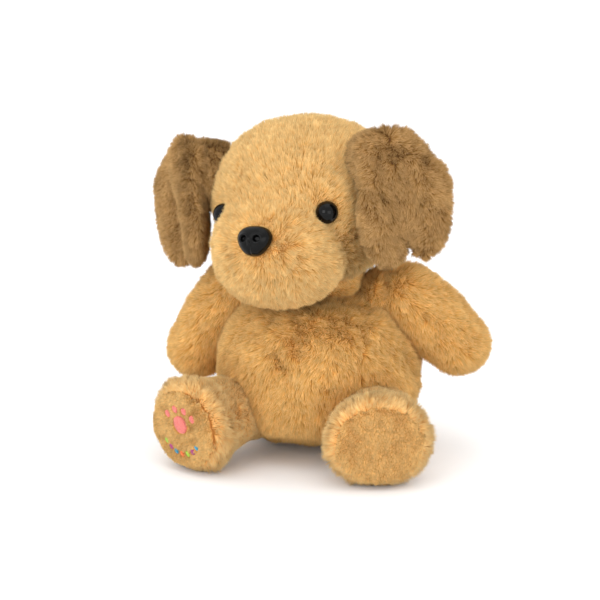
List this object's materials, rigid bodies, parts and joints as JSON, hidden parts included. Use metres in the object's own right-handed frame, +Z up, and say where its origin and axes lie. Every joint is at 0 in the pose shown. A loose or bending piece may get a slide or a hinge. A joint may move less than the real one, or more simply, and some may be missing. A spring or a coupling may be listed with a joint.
{
  "type": "plush dog",
  "caption": "Sitting plush dog with a stuffed head, floppy ears, short arms and legs, sewn panels and hard eyes and nose.",
  "frame": {"origin": "on the flat seat below the middle of the torso, on the surface it sits on", "axes": "the dog's torso faces -Y, its left side is +X, and +Z is up"},
  "size_m": [0.2347, 0.1997, 0.2352],
  "materials": {
    "plush_body": "long pile plush, honey",
    "plush_ear": "long pile plush, taupe brown",
    "plush_sole": "short pile plush, honey",
    "stitching": "satin stitched thread",
    "stuffing": "polyester fibre filling",
    "eye_plastic": "polished black",
    "nose_plastic": "satin black",
    "washer_plastic": "natural"
  },
  "bodies": {
    "torso": {"belly_front": "plush_body", "back_left": "plush_body", "back_right": "plush_body", "base_panel": "plush_body", "torso_stuffing": "stuffing"},
    "neck": {"neck_stuffing": "stuffing"},
    "head": {"forehead_panel": "plush_body", "head_side_left": "plush_body", "head_side_right": "plush_body", "head_back": "plush_body", "head_stuffing": "stuffing", "muzzle_panel": "plush_body", "chin_panel": "plush_body", "muzzle_stuffing": "stuffing", "nose": "nose_plastic", "nose_washer": "washer_plastic", "eye_left": "eye_plastic", "eye_right": "eye_plastic", "eye_washer_left": "washer_plastic", "eye_washer_right": "washer_plastic", "ear_left_seam": "plush_ear", "ear_right_seam": "plush_ear"},
    "tail": {"tail_cover": "plush_body", "tail_stuffing": "stuffing"},
    "ear_left": {"ear_left_front": "plush_ear", "ear_left_back": "plush_ear", "ear_left_padding": "stuffing"},
    "arm_left": {"arm_left_outer": "plush_body", "arm_left_inner": "plush_body", "arm_left_stuffing": "stuffing"},
    "leg_left": {"leg_left_upper": "plush_body", "leg_left_lower": "plush_body", "sole_left": "plush_sole", "leg_left_stuffing": "stuffing"},
    "ear_right": {"ear_right_front": "plush_ear", "ear_right_back": "plush_ear", "ear_right_padding": "stuffing"},
    "arm_right": {"arm_right_outer": "plush_body", "arm_right_inner": "plush_body", "arm_right_stuffing": "stuffing"},
    "leg_right": {"leg_right_upper": "plush_body", "leg_right_lower": "plush_body", "sole_right": "plush_sole", "leg_right_stuffing": "stuffing", "sole_embroidery": "stitching"}
  },
  "joints": [
    {"name": "neck_turn", "type": "hinge", "parent": "torso", "child": "neck", "pos_m": [0, 0, 0.122], "axis": [0, 0, 1], "range_deg": [-20, 50], "stiffness_Nm_per_rad": 1.2},
    {"name": "neck_nod", "type": "hinge", "parent": "neck", "child": "head", "pos_m": [0, 0, 0.122], "axis": [0.9659, -0.2588, 0], "range_deg": [-20, 0], "stiffness_Nm_per_rad": 2},
    {"name": "ear_left_flap", "type": "hinge", "parent": "head", "child": "ear_left", "pos_m": [0.05856, -0.05117, 0.22349], "axis": [-0.948, -0.3098, -0.0731], "range_deg": [0, 55], "stiffness_Nm_per_rad": 0.06},
    {"name": "ear_right_flap", "type": "hinge", "parent": "head", "child": "ear_right", "pos_m": [-0.08806, -0.01189, 0.21021], "axis": [-0.666, 0.7423, -0.0731], "range_deg": [0, 55], "stiffness_Nm_per_rad": 0.06},
    {"name": "arm_left_raise", "type": "hinge", "parent": "torso", "child": "arm_left", "pos_m": [0.06136, 0.004, 0.111], "axis": [0.2079, -0.9781, 0], "range_deg": [-6, 75], "stiffness_Nm_per_rad": 0.3},
    {"name": "arm_right_raise", "type": "hinge", "parent": "torso", "child": "arm_right", "pos_m": [-0.06136, 0.004, 0.111], "axis": [-0.1392, 0.9903, 0], "range_deg": [0, 50], "stiffness_Nm_per_rad": 0.3},
    {"name": "leg_left_lift", "type": "hinge", "parent": "torso", "child": "leg_left", "pos_m": [0.04393, -0.0331, 0.03563], "axis": [-0.9563, -0.2924, 0], "range_deg": [-20, 10], "stiffness_Nm_per_rad": 0.8},
    {"name": "leg_right_lift", "type": "hinge", "parent": "torso", "child": "leg_right", "pos_m": [-0.04393, -0.0331, 0.03563], "axis": [-0.891, 0.454, 0], "range_deg": [-20, 10], "stiffness_Nm_per_rad": 0.8},
    {"name": "tail_wag", "type": "hinge", "parent": "torso", "child": "tail", "pos_m": [0, 0.07058, 0.034], "axis": [0, 0, 1], "range_deg": [-20, 20], "stiffness_Nm_per_rad": 0.05}
  ]
}
